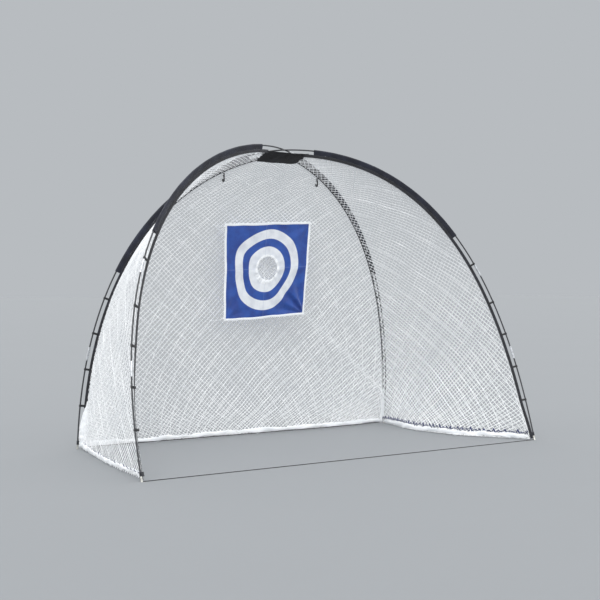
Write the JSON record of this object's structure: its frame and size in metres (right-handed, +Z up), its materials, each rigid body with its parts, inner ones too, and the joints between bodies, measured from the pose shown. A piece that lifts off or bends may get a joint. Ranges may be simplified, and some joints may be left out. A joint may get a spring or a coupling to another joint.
{
  "type": "golf chipping net",
  "caption": "Dome shaped golf chipping net: two crossed bent poles carry white netting, open at the front, with a blue ring target and its ball pocket.",
  "frame": {"origin": "on the ground, at the middle of the footprint of the four feet", "axes": "+X to the right of a golfer who faces the open front, +Y to the back of the cage, +Z up"},
  "size_m": [3.0664, 1.4041, 2.0345],
  "materials": {
    "fibreglass": "satin dark pultruded rod",
    "steel": "bright drawn tube",
    "tip_metal": "plain turned metal",
    "black_plastic": "moulded, slightly glossy",
    "sleeve_fabric": "woven polyester, navy black",
    "black_webbing": "woven webbing and cord",
    "blue_cord": "braided cord",
    "netting": "knotted white nylon mesh",
    "target_fabric": "printed woven nylon with rings",
    "white_fabric": "white tape and mesh"
  },
  "bodies": {
    "frame": {"back_left_binding": "black_webbing", "back_left_clips": "black_plastic", "back_left_corner_strap": "black_webbing", "back_left_sleeve": "sleeve_fabric", "back_right_binding": "black_webbing", "back_right_clips": "black_plastic", "back_right_corner_strap": "black_webbing", "back_right_sleeve": "sleeve_fabric", "crown_panel": "sleeve_fabric", "foot_tip_back_left": "tip_metal", "foot_tip_back_right": "tip_metal", "foot_tip_front_left": "tip_metal", "foot_tip_front_right": "tip_metal", "front_left_binding": "black_webbing", "front_left_clips": "black_plastic", "front_left_corner_strap": "black_webbing", "front_left_sleeve": "sleeve_fabric", "front_right_binding": "black_webbing", "front_right_clips": "black_plastic", "front_right_corner_strap": "black_webbing", "front_right_sleeve": "sleeve_fabric", "ground_cord": "black_webbing", "hem_cord_back": "black_webbing", "hem_cord_left": "blue_cord", "hem_cord_right": "blue_cord", "hook_loop_left": "black_webbing", "hook_loop_right": "black_webbing", "net_back": "netting", "net_left": "netting", "net_right": "netting", "pole_left_ferrules": "steel", "pole_left_section_1": "fibreglass", "pole_left_section_2": "fibreglass", "pole_left_section_3": "fibreglass", "pole_left_section_4": "fibreglass", "pole_left_section_5": "fibreglass", "pole_left_section_6": "fibreglass", "pole_left_section_7": "fibreglass", "pole_left_section_8": "fibreglass", "pole_left_section_9": "fibreglass", "pole_right_ferrules": "steel", "pole_right_section_1": "fibreglass", "pole_right_section_2": "fibreglass", "pole_right_section_3": "fibreglass", "pole_right_section_4": "fibreglass", "pole_right_section_5": "fibreglass", "pole_right_section_6": "fibreglass", "pole_right_section_7": "fibreglass", "pole_right_section_8": "fibreglass", "pole_right_section_9": "fibreglass", "target_ties": "white_fabric"},
    "target": {"target_sheet": "target_fabric", "target_binding": "white_fabric", "target_pocket_ring": "white_fabric", "target_pocket": "white_fabric"},
    "left_hook": {"hook_left": "black_plastic"},
    "right_hook": {"hook_right": "black_plastic"}
  },
  "joints": [
    {"name": "target_swing", "type": "hinge", "parent": "frame", "child": "target", "pos_m": [0.00852, 0.38365, 1.50308], "axis": [0.9986, 0, 0.0523], "range_deg": [0, 8]},
    {"name": "left_hook_swing", "type": "hinge", "parent": "frame", "child": "left_hook", "pos_m": [-0.3873, 0.3378, 1.82333], "axis": [1, 0, 0], "range_deg": [-60, 15]},
    {"name": "right_hook_swing", "type": "hinge", "parent": "frame", "child": "right_hook", "pos_m": [0.39214, 0.33913, 1.82871], "axis": [1, 0, 0], "range_deg": [-60, 15]}
  ]
}
